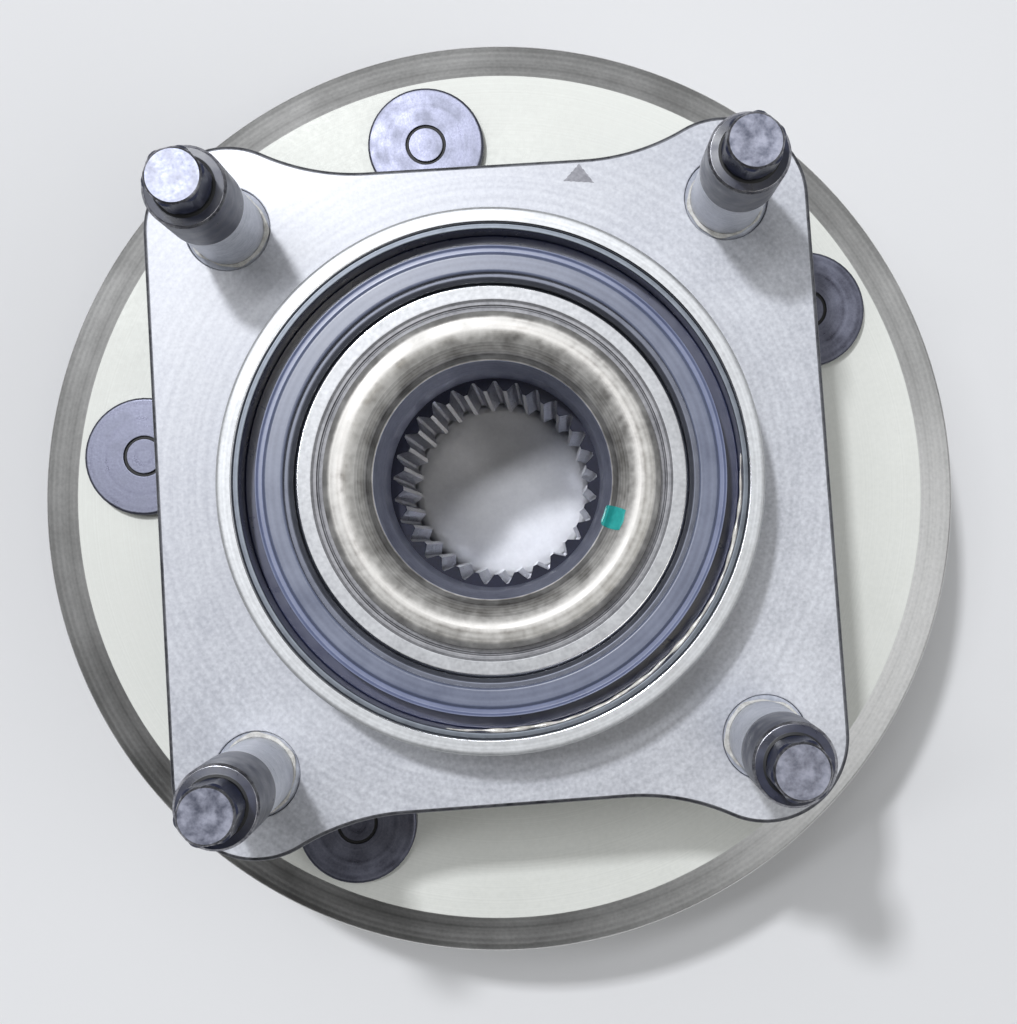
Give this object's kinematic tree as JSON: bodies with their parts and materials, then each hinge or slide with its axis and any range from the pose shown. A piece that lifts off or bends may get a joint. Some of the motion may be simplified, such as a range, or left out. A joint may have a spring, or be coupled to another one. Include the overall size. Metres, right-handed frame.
{
  "type": "wheel hub bearing",
  "caption": "Driven wheel hub bearing unit: a flanged, splined spindle turns on two ball rows inside an outer ring with a bolted knuckle plate.",
  "frame": {"origin": "on the bearing axis, in the plane of the wheel-stud tips on which the part stands", "axes": "+Z along the bearing axis from the wheel to the knuckle; +X and +Y parallel to the sides of the knuckle plate"},
  "size_m": [0.1468, 0.1468, 0.1257],
  "materials": {
    "ring_steel": "turned and ground bearing steel",
    "flange_steel": "fine turned steel",
    "bearing_steel": "ground bearing steel",
    "ball_steel": "polished ball",
    "stainless_sheet": "pressed stainless sheet",
    "cap_steel": "pressed zinc-plated sheet",
    "encoder_rubber": "magnetic rubber, satin",
    "seal_rubber": "nitrile, greased",
    "cage_polyamide": "glass-filled polyamide",
    "stud_steel": "zinc-nickel plated",
    "knuckle_stud_steel": "plated shank, blackened thread"
  },
  "bodies": {
    "outer_ring": {"outer_ring": "ring_steel", "knuckle_stud_1": "knuckle_stud_steel", "knuckle_stud_2": "knuckle_stud_steel", "knuckle_stud_3": "knuckle_stud_steel", "knuckle_stud_4": "knuckle_stud_steel", "seal_case_outboard": "stainless_sheet", "seal_lips_outboard": "seal_rubber", "seal_case_inboard": "stainless_sheet", "seal_lips_inboard": "seal_rubber"},
    "hub": {"hub_spindle": "flange_steel", "inner_ring": "bearing_steel", "slinger": "stainless_sheet", "encoder_ring": "encoder_rubber", "bore_cap": "cap_steel", "wheel_stud_1": "stud_steel", "wheel_stud_2": "stud_steel", "wheel_stud_3": "stud_steel", "wheel_stud_4": "stud_steel", "wheel_stud_5": "stud_steel"},
    "cage_outboard": {"cage_outboard": "cage_polyamide", "ball_outboard_01": "ball_steel", "ball_outboard_02": "ball_steel", "ball_outboard_03": "ball_steel", "ball_outboard_04": "ball_steel", "ball_outboard_05": "ball_steel", "ball_outboard_06": "ball_steel", "ball_outboard_07": "ball_steel", "ball_outboard_08": "ball_steel", "ball_outboard_09": "ball_steel", "ball_outboard_10": "ball_steel", "ball_outboard_11": "ball_steel", "ball_outboard_12": "ball_steel", "ball_outboard_13": "ball_steel"},
    "cage_inboard": {"cage_inboard": "cage_polyamide", "ball_inboard_01": "ball_steel", "ball_inboard_02": "ball_steel", "ball_inboard_03": "ball_steel", "ball_inboard_04": "ball_steel", "ball_inboard_05": "ball_steel", "ball_inboard_06": "ball_steel", "ball_inboard_07": "ball_steel", "ball_inboard_08": "ball_steel", "ball_inboard_09": "ball_steel", "ball_inboard_10": "ball_steel", "ball_inboard_11": "ball_steel", "ball_inboard_12": "ball_steel", "ball_inboard_13": "ball_steel"}
  },
  "joints": [
    {"name": "wheel_spin", "type": "hinge", "parent": "outer_ring", "child": "hub", "pos_m": [0, 0, 0.07755], "axis": [0, 0, 1], "continuous": true},
    {"name": "cage_outboard_orbit", "type": "hinge", "parent": "outer_ring", "child": "cage_outboard", "pos_m": [0, 0, 0.0655], "axis": [0, 0, 1], "continuous": true},
    {"name": "cage_inboard_orbit", "type": "hinge", "parent": "outer_ring", "child": "cage_inboard", "pos_m": [0, 0, 0.0896], "axis": [0, 0, 1], "continuous": true}
  ],
  "couplings": [
    {"joint": "cage_outboard_orbit", "follows": "wheel_spin", "ratio": 0.41798},
    {"joint": "cage_inboard_orbit", "follows": "wheel_spin", "ratio": 0.41798}
  ]
}
